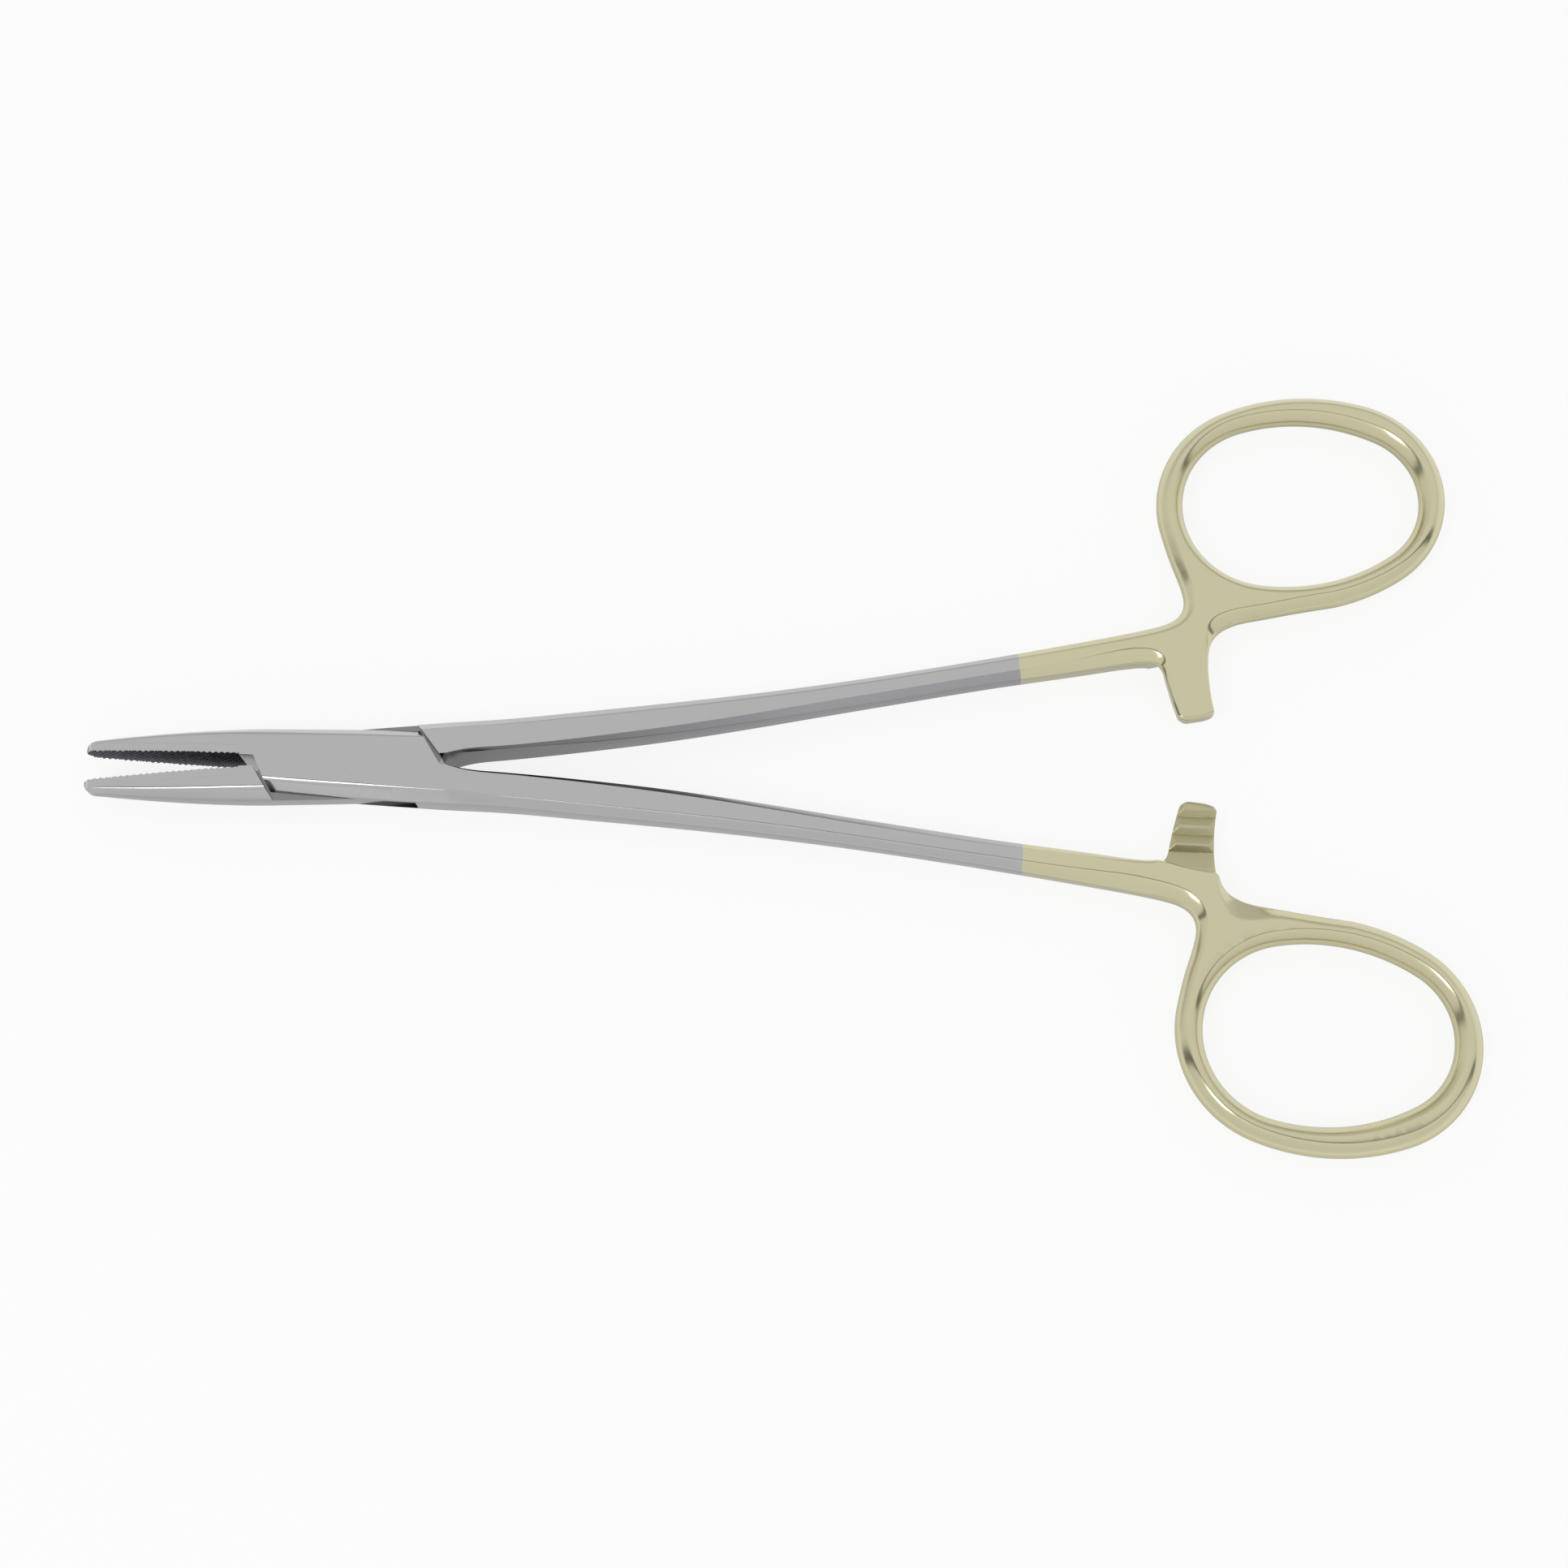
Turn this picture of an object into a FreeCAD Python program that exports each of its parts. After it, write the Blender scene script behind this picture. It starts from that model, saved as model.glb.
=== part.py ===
import FreeCAD, Part
import math
import os

# Surgical needle holder, about 160 mm long, with ring handles, a box lock and a ratchet.
# Millimetres. The origin is on the pivot axis, at the flat underside of the box lock.
# +X runs from the pivot to the finger rings, +Z is up. The jaws point along -X.
# Each half is drawn with the jaws shut, so that its gripping face lies on the XZ plane,
# and is then turned about the pivot to the pose of rest, with the jaws a little open.

# Pose
opening_at_rest = 5.9          # degrees between the gripping faces

# Jaws
jaw_reach = 32.2               # pivot axis to jaw tip
jaw_tip_thickness = 2.2
jaw_root_height = 3.62         # gripping face to outer edge, at the box
jaw_tip_height = 1.45
jaw_crown = 0.21               # how far the outer edge bulges past a straight line
jaw_tip_round = 1.3
jaw_tip_wall = 0.9             # height of the upright band along the outer edge
jaw_tip_lean = 0.4             # how far the top face stays inside that band
jaw_root_lean = 0.92
jaw_taper_power = 1.6          # the jaw thins mostly towards its tip
jaw_grip_gap = 0.03            # left between each gripping face and the middle plane

# Carbide inserts brazed into the jaws
insert_depth = 1.1
insert_rear = 13.4             # pivot axis to the insert's rear end
serration_pitch = 0.70         # along the edge of the jaw
serration_depth = 0.17
serration_angle = 45.0         # degrees between the grooves and the jaw

# Box lock
box_thickness = 5.8
box_front = 13.6               # pivot axis to the start of the jaws
box_rear = 11.0                # pivot axis to the start of the shanks
box_width_front = 7.24
box_width_middle = 8.4
box_width_rear = 8.66
box_wall = 2.3                 # height of the upright band along the box's flanks
box_lean = 1.1                 # how far the top face stays inside that band
box_rear_wall = 2.9
box_rear_lean = 1.0
cheek_front = 11.7             # pivot axis to the cheek's front edge, on the middle plane
cheek_front_slant = 0.54       # sideways run of that edge for each millimetre across
cheek_rear = 9.9
cheek_rear_slant = 0.68
slot_front_at_flank = 7.0      # pivot axis to the slot's front end, at the flank
slot_rear_at_flank = 7.35
shoulder_gap = 0.10            # between the cheeks' edges and the other half's shoulders
tongue_thickness = 1.94
tongue_face_clearance = 0.04
tongue_end_clearance = 0.15

# Pivot pin, riveted flush in both cheeks
pin_diameter = 3.2
pin_running_clearance = 0.03   # radial, in the tongue

# Shanks
shank_end = 88.0               # pivot axis to the start of the web
shank_start_offset = 2.25      # middle plane to the shank's centre line, at the box
shank_end_offset = 8.78
shank_start_slope = 0.02
shank_end_slope = 0.12
shank_parting = 0.18           # middle plane to the shank's inner wall, at the box
shank_neck_width = 3.82
shank_belly_width = 3.95
shank_waist_width = 3.08
shank_end_width = 3.65
shank_neck_thickness = 4.75
shank_belly_thickness = 4.4
shank_middle_thickness = 3.95
shank_bevel = 0.8              # both legs of the bevel along the slim part
shank_start_bevel = 0.25       # inner bevel, where the shank leaves the box

# Handle: web, ring and ratchet arm
handle_thickness = 3.5
ring_run = 23.1                # end of the shank to the middle of the ring
ring_offset = 26.05            # middle plane to the middle of the ring, with the jaws shut
ring_opening_length = 27.5
ring_front_radius = 10.0       # end of the opening towards the shank
ring_rear_radius = 8.5
ring_side_radius = 21.4        # both long sides of the opening
ring_opening_tilt = -1.0       # degrees
ring_band = 3.1
ring_heel = 0.7                # extra band at the ring's rear corner
ring_outline_tilt = -4.6
ring_outline_drop = 0.15       # how far the outline lies further out than the opening
ring_bevel = 0.9               # both legs of the bevel along the ring's four edges
web_bevel = 1.0                # both legs of the bevel round the web
web_crotch_run = 9.0           # corner between the shank and the ring, on the outer side
web_crotch_offset = 12.1
web_crotch_round = 2.6
web_shoulder_run = 8.5         # where the web's inner side turns away from the shank's line
web_throat_run = 12.2          # where it turns into the ring
web_crown_run = 22.0           # where it has run into the ring
web_crown_offset = 12.75
web_inner_run = 10.4           # corner between the ratchet arm and the ring
web_inner_offset = 11.25
web_inner_round = 2.8
web_overlap = 0.2              # how far joined pieces of the handle reach into each other
arm_front_run = 5.0            # front side of the arm, at its root
arm_front_lean = 1.7           # how far that side leans back towards the tip
arm_root_round = 1.2
arm_reach = 0.4                # how far the tip passes the middle plane when shut
arm_tip_width = 3.95
arm_tip_slope = 0.1
arm_tip_round = 0.5
arm_bevel = 0.25

# Ratchet teeth
ratchet_gap = 0.10             # between the crests of the two arms, one above the other
tooth_count = 3
tooth_pitch = 2.15
tooth_depth = 0.6
tooth_steep_run = 0.45
tooth_crest = 0.28
tooth_tip_land = 1.05

mid_height = box_thickness / 2
half_opening = opening_at_rest / 2
past = 20.0                    # how far a cutting tool runs past what it cuts
grinding_stock = 0.3           # what is ground off the top and the bottom of the box
jaw_length = jaw_reach - box_front


def vec(x, y, z=0.0):
    return FreeCAD.Vector(x, y, z)


def prism(points, low, high):
    """A plate between two heights with the given outline of (x, y) corners."""
    wire = Part.makePolygon([vec(x, y, low) for x, y in points + points[:1]])
    return Part.Face(wire).extrude(vec(0, 0, high - low))


def rounded_wire(corners, height):
    """A closed outline of (x, y, radius) corners: straight sides joined by tangent arcs."""
    edges = []
    starts = []
    ends = []
    for index, (x, y, radius) in enumerate(corners):
        corner = vec(x, y, height)
        before = vec(*corners[index - 1][:2], height) - corner
        after = vec(*corners[(index + 1) % len(corners)][:2], height) - corner
        reach = 0.0
        if radius > 0:
            turn = before.getAngle(after)
            reach = radius / math.tan(turn / 2)
        before.normalize()
        after.normalize()
        starts.append(corner + before * reach)
        ends.append(corner + after * reach)
        if radius > 0:
            middle = before + after
            middle.normalize()
            middle = corner + middle * (radius / math.sin(turn / 2) - radius)
            edges.append(Part.Arc(starts[-1], middle, ends[-1]).toShape())
    for index, end in enumerate(ends):
        start = starts[(index + 1) % len(corners)]
        edges.append(Part.LineSegment(end, start).toShape())
    return Part.Wire(Part.__sortEdges__(edges))


def rounded_plate(corners, low, high):
    """A plate with a rounded outline, between two heights."""
    return Part.Face(rounded_wire(corners, low)).extrude(vec(0, 0, high - low))


def section(x, inner, outer, thickness, wall, inner_lean, outer_lean):
    """An eight-sided cross-section of a half, between an inner and an outer side.

    The two flats are the top and bottom faces. Each side has an upright band of the
    height of wall, and a bevel above and below it that leans in by its own amount.
    """
    side = 1 if outer > inner else -1
    top = thickness / 2
    band = wall / 2
    flat_inner = inner + side * inner_lean
    flat_outer = outer - side * outer_lean
    points = [
        vec(x, inner, -band),
        vec(x, inner, band),
        vec(x, flat_inner, top),
        vec(x, flat_outer, top),
        vec(x, outer, band),
        vec(x, outer, -band),
        vec(x, flat_outer, -top),
        vec(x, flat_inner, -top),
    ]
    return Part.makePolygon(points + points[:1])


def jaw_section(x, outer, thickness, wall, lean):
    """A six-sided cross-section of a jaw, square at the gripping face."""
    top = thickness / 2
    points = [
        vec(x, 0, -top),
        vec(x, 0, top),
        vec(x, outer - lean, top),
        vec(x, outer, wall / 2),
        vec(x, outer, -wall / 2),
        vec(x, outer - lean, -top),
    ]
    return Part.makePolygon(points + points[:1])


def blend(start, end, share):
    return start + (end - start) * share


def jaw_blank():
    """The jaw of one half with its insert, thinning towards a rounded tip."""
    wires = []
    for share in (0.0, 0.25, 0.5, 0.75, 1.0):
        height = blend(jaw_root_height, jaw_tip_height, share) + 4 * jaw_crown * share * (1 - share)
        thickness = blend(box_thickness, jaw_tip_thickness, share ** jaw_taper_power)
        wall = blend(box_wall, jaw_tip_wall, share)
        lean = blend(jaw_root_lean, jaw_tip_lean, share)
        wires.append(jaw_section(-box_front - share * jaw_length, height, thickness, wall, lean))
    blank = Part.makeLoft(wires, True, False)
    rear = -box_front + past
    outline = [
        (-jaw_reach, -past, 0),
        (-jaw_reach, jaw_tip_height + jaw_crown, jaw_tip_round),
        (rear, jaw_root_height + jaw_crown + jaw_tip_round, 0),
        (rear, -past, 0),
    ]
    rounded = blank.common(rounded_plate(outline, -past, past))
    shaved = Part.makeBox(past * 4, past, past * 2, vec(-past * 3, jaw_grip_gap - past, -past))
    return rounded.cut(shaved)


def box_blank():
    """The barrel-shaped box, whole, before it is shared between the two halves.

    Its flanks are lofted past the full height and then ground off flat, top and bottom.
    """
    rows = [
        (-box_front, box_width_front, box_wall, jaw_root_lean),
        (0.0, box_width_middle, box_wall, box_lean),
        (box_rear, box_width_rear, box_rear_wall, box_rear_lean),
    ]
    wires = []
    for x, width, wall, lean in rows:
        steepness = lean / (box_thickness - wall)
        tall = box_thickness + 2 * grinding_stock
        tall_lean = steepness * (tall - wall)
        wires.append(section(x, width / 2, -width / 2, tall, wall, tall_lean, tall_lean))
    ground = Part.makeBox(4 * past, 2 * past, box_thickness, vec(-2 * past, -past, -mid_height))
    return Part.makeLoft(wires, True, False).common(ground)


def shank_centre(share):
    """Offset of the shank's centre line: one cubic from the box to the web."""
    length = shank_end - box_rear
    rise = 3 * share ** 2 - 2 * share ** 3
    start_pull = share ** 3 - 2 * share ** 2 + share
    end_pull = share ** 3 - share ** 2
    offset = blend(shank_start_offset, shank_end_offset, rise)
    return offset + length * (shank_start_slope * start_pull + shank_end_slope * end_pull)


def shank():
    """The slim eight-sided bar between the box and the web."""
    length = shank_end - box_rear
    start_section = section(box_rear, -shank_parting, -box_width_rear / 2, box_thickness,
                            box_rear_wall, shank_start_bevel, box_rear_lean)
    # share of the length, width, thickness, inner bevel, outer bevel
    rows = [
        (0.07, shank_neck_width, shank_neck_thickness, 0.35, 0.95),
        (0.24, shank_belly_width, shank_belly_thickness, 0.75, 0.95),
        (0.46, blend(shank_belly_width, shank_waist_width, 0.5), shank_middle_thickness, 0.85, 0.85),
        (0.68, shank_waist_width, handle_thickness, shank_bevel, shank_bevel),
        (0.85, blend(shank_waist_width, shank_end_width, 0.4), handle_thickness, shank_bevel, shank_bevel),
        (1.0, shank_end_width, handle_thickness, web_bevel, web_bevel),
    ]
    wires = [start_section]
    for share, width, thickness, inner_lean, outer_lean in rows:
        centre = -shank_centre(share)
        wall = thickness - 2 * outer_lean
        wires.append(section(box_rear + share * length, centre + width / 2, centre - width / 2,
                             thickness, wall, inner_lean, outer_lean))
    return Part.makeLoft(wires, True, False)


def egg(length, front_radius, rear_radius, side_radius):
    """A closed outline about the origin: two end arcs and two flatter side arcs, all tangent."""
    front = vec(front_radius - length / 2, 0)
    rear = vec(length / 2 - rear_radius, 0)
    spacing = rear.x - front.x
    front_reach = side_radius - front_radius
    rear_reach = side_radius - rear_radius
    along = (front_reach ** 2 - rear_reach ** 2) / (2 * spacing)
    across = math.sqrt(front_reach ** 2 - (along + spacing / 2) ** 2)
    arcs = []
    joints = []
    for side in (1, -1):
        hub = vec((front.x + rear.x) / 2 + along, -side * across)
        at_front = hub + (front - hub) * (side_radius / front_reach)
        at_rear = hub + (rear - hub) * (side_radius / rear_reach)
        arcs.append(Part.Arc(at_front, hub + vec(0, side * side_radius), at_rear).toShape())
        joints += [at_front, at_rear]
    arcs.append(Part.Arc(joints[1], vec(length / 2, 0), joints[3]).toShape())
    arcs.append(Part.Arc(joints[2], vec(-length / 2, 0), joints[0]).toShape())
    return Part.Wire(Part.__sortEdges__(arcs))


def ring_face(share):
    """The area inside the ring's opening (share 0), its outline (1) or between them."""
    band = share * ring_band
    outline = egg(ring_opening_length + 2 * band, ring_front_radius + band,
                  ring_rear_radius + band + share * ring_heel, ring_side_radius + band)
    outline.rotate(vec(0, 0), vec(0, 0, 1), blend(ring_opening_tilt, ring_outline_tilt, share))
    outline.translate(vec(shank_end + ring_run, -ring_offset - share * ring_outline_drop,
                          -handle_thickness / 2))
    return Part.Face(outline)


def ring():
    """The finger ring: an egg-shaped band with all four edges bevelled."""
    band = ring_face(1.0).cut(ring_face(0.0)).extrude(vec(0, 0, handle_thickness))
    flat = [edge for edge in band.Edges if abs(edge.BoundBox.ZLength) < 0.001]
    return band.makeChamfer(ring_bevel, flat)


def bevel_free_edges(plate, size, neighbours):
    """Bevel the top and bottom edges of a plate, apart from those inside its neighbours."""
    chosen = []
    for edge in plate.Edges:
        middle = edge.valueAt((edge.FirstParameter + edge.LastParameter) / 2)
        level = vec(middle.x, middle.y)
        covered = any(solid.isInside(level, 0.001, True) for solid in neighbours)
        if edge.BoundBox.ZLength < 0.001 and not covered:
            chosen.append(edge)
    return plate.makeChamfer(size, chosen)


def web(neighbours):
    """The flat web that joins the shank to the ring, and ends inside the ring's band."""
    end_inner = shank_end_width / 2 - shank_end_offset
    end_outer = -shank_end_width / 2 - shank_end_offset
    ring_x = shank_end + ring_run
    ring_front = ring_x - ring_opening_length / 2 - ring_band + web_overlap
    corners = [
        (shank_end, end_inner, 0),
        (shank_end + web_shoulder_run, end_inner - shank_end_slope * web_shoulder_run, 0),
        (shank_end + web_throat_run, -web_inner_offset - web_overlap, web_inner_round),
        (shank_end + web_crown_run, -web_crown_offset, 0),
        (ring_x, -ring_offset, 0),
        (ring_front, -ring_offset + ring_band / 2, 0),
        (shank_end + web_crotch_run, -web_crotch_offset, web_crotch_round),
        (shank_end, end_outer, 0),
    ]
    half = handle_thickness / 2
    plate = rounded_plate(corners, -half, half)
    plate = plate.cut(ring_face(0.5).extrude(vec(0, 0, handle_thickness)))
    return bevel_free_edges(plate, web_bevel, neighbours)


def ratchet_arm(neighbours):
    """The arm that carries the ratchet teeth, half as thick as the handle, teeth up."""
    front_x = shank_end + arm_front_run
    inner_x = shank_end + web_inner_run
    root_y = shank_end_width / 2 - shank_end_offset - shank_end_slope * arm_front_run
    tip_x = front_x + arm_front_lean
    back_x = tip_x + arm_tip_width
    sink = shank_end_width / 2
    corners = [
        (front_x - 2 * arm_root_round, root_y + web_overlap - sink, 0),
        (front_x - 2 * arm_root_round, root_y + web_overlap, 0),
        (front_x, root_y, arm_root_round),
        (tip_x, arm_reach, arm_tip_round),
        (back_x, arm_reach - arm_tip_slope * arm_tip_width, arm_tip_round),
        (inner_x, -web_inner_offset, web_inner_round),
        (inner_x + 2 * web_inner_round, -web_inner_offset - web_bevel / 2, 0),
        (inner_x + web_inner_round, -web_inner_offset - 2 * web_bevel, 0),
    ]
    top = -ratchet_gap / 2
    plate = rounded_plate(corners, -handle_thickness / 2, top)
    plate = bevel_free_edges(plate, arm_bevel, neighbours)
    return plate.cut(ratchet_grooves(top))


def ratchet_grooves(top):
    """Saw-tooth grooves: a steep side that holds and a long ramp that slips."""
    width = 3 * arm_tip_width
    x = shank_end + arm_front_run - arm_tip_width
    grooves = []
    for index in range(tooth_count):
        start = arm_reach - tooth_tip_land - index * tooth_pitch
        bottom = start - tooth_steep_run
        end = start - tooth_pitch + tooth_crest
        points = [
            vec(x, start + tooth_steep_run, top + tooth_depth),
            vec(x, bottom, top - tooth_depth),
            vec(x, 2 * end - bottom, top + tooth_depth),
        ]
        face = Part.Face(Part.makePolygon(points + points[:1]))
        grooves.append(face.extrude(vec(width, 0, 0)))
    return Part.makeCompound(grooves)


def handle():
    """Shank, web, ring and ratchet arm in one piece, as forged."""
    bar = shank()
    loop = ring()
    plate = web([bar, loop])
    arm = ratchet_arm([bar, loop, plate])
    return bar.multiFuse([plate, loop, arm])


def slot_outline(margin):
    """Plan of the slot through the box, drawn in at both ends by a margin."""
    half_width = box_width_middle / 2
    front_run = (cheek_front - slot_front_at_flank) / half_width
    rear_run = (cheek_rear - slot_rear_at_flank) / half_width
    return [
        (-cheek_front + margin, 0),
        (-cheek_front + margin + front_run * past, past),
        (cheek_rear - margin, past),
        (cheek_rear - margin, 0),
        (cheek_rear - margin - rear_run * past, -past),
        (-cheek_front + margin, -past),
    ]


def cheek_plan():
    """Plan of the box half: its jaw root, both cheeks and the start of its shank."""
    return [
        (-box_front, jaw_grip_gap),
        (-cheek_front - cheek_front_slant * jaw_grip_gap, jaw_grip_gap),
        (-cheek_front + cheek_front_slant * past, -past),
        (box_rear, -past),
        (box_rear, -shank_parting),
        (cheek_rear + cheek_rear_slant * shank_parting, -shank_parting),
        (cheek_rear - cheek_rear_slant * past, past),
        (-box_front, past),
    ]


def shoulder_plans():
    """Plans of the tongue half's two full-thickness ends, at the jaw and at the shank."""
    front = -cheek_front - shoulder_gap
    rear = cheek_rear + shoulder_gap
    at_jaw = [
        (-box_front, -jaw_grip_gap),
        (front + cheek_front_slant * jaw_grip_gap, -jaw_grip_gap),
        (front + cheek_front_slant * past, -past),
        (-box_front, -past),
    ]
    at_shank = [
        (box_rear, shank_parting),
        (rear - cheek_rear_slant * shank_parting, shank_parting),
        (rear - cheek_rear_slant * past, past),
        (box_rear, past),
    ]
    return at_jaw, at_shank


def pivot_hole(radial_clearance):
    radius = pin_diameter / 2 + radial_clearance
    return Part.makeCylinder(radius, 2 * past, vec(0, 0, -past))


def flip(shape):
    """Turn a forging over about the X axis: the other half of the pair."""
    turned = shape.copy()
    turned.rotate(vec(0, 0), vec(1, 0), 180)
    return turned


def split_insert(jaw):
    """Part the jaw into its steel body and the carbide strip along its gripping face."""
    strip = Part.makeBox(jaw_reach - insert_rear, insert_depth, 2 * past, vec(-jaw_reach, 0, -past))
    return jaw.cut(strip), jaw.common(strip)


def serrate(insert):
    """Cut two crossing sets of V grooves into the gripping face."""
    angle = math.radians(serration_angle)
    length = jaw_reach - insert_rear
    spread = box_thickness / math.tan(angle)
    count = int((length + spread) / serration_pitch) + 1
    run = box_thickness / math.sin(angle)
    half_groove = serration_pitch * math.sin(angle) / 2
    overcut = serration_depth / 2
    reach = half_groove * (serration_depth + overcut) / serration_depth
    for lean in (1, -1):
        grooves = []
        for index in range(count):
            x = -jaw_reach - spread / 2 + index * serration_pitch
            profile = [
                vec(-reach, jaw_grip_gap - overcut, 0),
                vec(0, jaw_grip_gap + serration_depth, 0),
                vec(reach, jaw_grip_gap - overcut, 0),
            ]
            face = Part.Face(Part.makePolygon(profile + profile[:1]))
            groove = face.extrude(vec(0, 0, run))
            groove.translate(vec(0, 0, -run / 2))
            groove.rotate(vec(0, 0), vec(0, 1, 0), lean * (90 - serration_angle))
            groove.translate(vec(x, 0, 0))
            grooves.append(groove)
        insert = insert.cut(Part.makeCompound(grooves))
    return insert


def place(shape, turn):
    """Turn a half from the shut pose to rest, and stand the box on its underside."""
    shape.rotate(vec(0, 0), vec(0, 0, 1), turn)
    shape.translate(vec(0, 0, mid_height))
    return shape


def one_solid(shape):
    """The single solid in a shape."""
    return shape.Solids[0] if len(shape.Solids) == 1 else shape


jaw_body, insert = split_insert(jaw_blank())
forged_handle = handle()
box = box_blank()

box_half = box.common(prism(cheek_plan(), -past, past))
slot_height = tongue_thickness + 2 * tongue_face_clearance
box_half = box_half.cut(prism(slot_outline(0.0), -slot_height / 2, slot_height / 2))
box_half = box_half.multiFuse([jaw_body, forged_handle])
box_half = box_half.cut(pivot_hole(0.0))

tongue = box.common(prism(slot_outline(tongue_end_clearance), -tongue_thickness / 2, tongue_thickness / 2))
tongue_parts = [box.common(prism(plan, -past, past)) for plan in shoulder_plans()]
tongue_parts += [flip(jaw_body), flip(forged_handle)]
tongue_half = tongue.multiFuse(tongue_parts)
tongue_half = tongue_half.cut(pivot_hole(pin_running_clearance))

pivot_pin = Part.makeCylinder(pin_diameter / 2, box_thickness, vec(0, 0, -mid_height))
upper_insert = serrate(insert)
lower_insert = flip(upper_insert)

nodes = {
    "box_half": place(one_solid(box_half), -half_opening),
    "upper_jaw_insert": place(one_solid(upper_insert), -half_opening),
    "pivot_pin": place(pivot_pin, -half_opening),
    "tongue_half": place(one_solid(tongue_half), half_opening),
    "lower_jaw_insert": place(one_solid(lower_insert), half_opening),
}

os.makedirs("parts", exist_ok=True)
for name, shape in nodes.items():
    shape.exportStep("parts/" + name + ".step")
    print(name, "valid", shape.isValid(), "solids", len(shape.Solids), "faces", len(shape.Faces),
          "volume", round(shape.Volume, 2))
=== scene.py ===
import math

import bmesh
import bpy
import numpy as np
from mathutils import Matrix, Vector
from mathutils.geometry import delaunay_2d_cdt


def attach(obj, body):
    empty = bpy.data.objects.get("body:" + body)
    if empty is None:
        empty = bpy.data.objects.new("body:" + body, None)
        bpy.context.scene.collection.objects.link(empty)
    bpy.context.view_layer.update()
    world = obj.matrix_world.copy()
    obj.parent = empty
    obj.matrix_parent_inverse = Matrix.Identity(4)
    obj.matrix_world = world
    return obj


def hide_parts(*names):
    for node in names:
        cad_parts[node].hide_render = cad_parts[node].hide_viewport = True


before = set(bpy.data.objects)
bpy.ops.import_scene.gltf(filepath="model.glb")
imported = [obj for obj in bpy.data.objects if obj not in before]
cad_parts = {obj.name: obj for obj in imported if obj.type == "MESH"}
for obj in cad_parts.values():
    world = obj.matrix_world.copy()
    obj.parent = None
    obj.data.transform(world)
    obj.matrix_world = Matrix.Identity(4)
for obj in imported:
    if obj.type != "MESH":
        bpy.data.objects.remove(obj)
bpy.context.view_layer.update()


# The two forgings
# Each half is one drop forging of martensitic stainless steel: jaw, box lock, shank, finger
# ring and ratchet arm in a single piece. It is ground to its facets and mirror polished.
# Both halves come from one die, and the second is the first turned over about X.

HALF_TURN = 2.95            # degrees that each half stands open at rest
MID_HEIGHT = 2.9            # millimetres from the floor to the middle plane of the box


def curve_through(knots, spacing):
    """A natural cubic spline through the rows of knots, measured along their chords.

    The first two columns are x and y, and the others ride along. The second derivatives
    solve the usual three-term system, and each span is the cubic that they give.
    """
    knots = np.array(knots, float)
    run = np.hypot(*np.diff(knots[:, :2], axis=0).T)
    at = np.concatenate([[0.0], np.cumsum(run)])
    count = len(knots)
    system = np.eye(count)
    inner = np.arange(1, count - 1)
    system[inner, inner - 1] = run[:-1]
    system[inner, inner] = 2 * (run[:-1] + run[1:])
    system[inner, inner + 1] = run[1:]
    chords = np.diff(knots, axis=0) / run[:, None]
    right = np.zeros_like(knots)
    right[1:-1] = 6 * np.diff(chords, axis=0)
    bend = np.linalg.solve(system, right)
    places = np.linspace(0, at[-1], max(2, int(round(at[-1] / spacing)) + 1))
    span = np.clip(np.searchsorted(at, places, side="right") - 1, 0, count - 2)
    h = run[span][:, None]
    before = (at[span + 1] - places)[:, None]
    after = (places - at[span])[:, None]
    return (bend[span] * before ** 3 / (6 * h) + bend[span + 1] * after ** 3 / (6 * h)
            + (knots[span] / h - bend[span] * h / 6) * before
            + (knots[span + 1] / h - bend[span + 1] * h / 6) * after)


BOX_HEIGHT = 5.8
TIP_HEIGHT = 2.2            # where the jaw's taper ends
JAW_ROOT, JAW_LENGTH = -13.6, 18.6
SHANK_START, SHANK_END = 11, 88
SHANK_PLACES = np.linspace(SHANK_START, SHANK_END, 78)
SHANK_HEIGHTS = curve_through([(SHANK_START, BOX_HEIGHT), (13, 5.35), (16.4, 4.85), (21, 4.6),
                               (29.5, 4.35), (46.4, 3.9), (63.4, 3.52), (75, 3.5),
                               (SHANK_END, 3.5)], 0.1)[::10, 1]


def half_height(x):
    """Half the forging's thickness at x: the box, the thinning shank and the thinning jaw.

    The shank's comes from its table, and the jaw thins with the 1.6th power of its run.
    """
    shank = np.interp(x, SHANK_PLACES, SHANK_HEIGHTS)
    share = np.clip((JAW_ROOT - x) / JAW_LENGTH, 0, 1)
    jaw = BOX_HEIGHT + (TIP_HEIGHT - BOX_HEIGHT) * share ** 1.6
    return np.where(x > SHANK_START, shank, jaw) / 2


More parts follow.
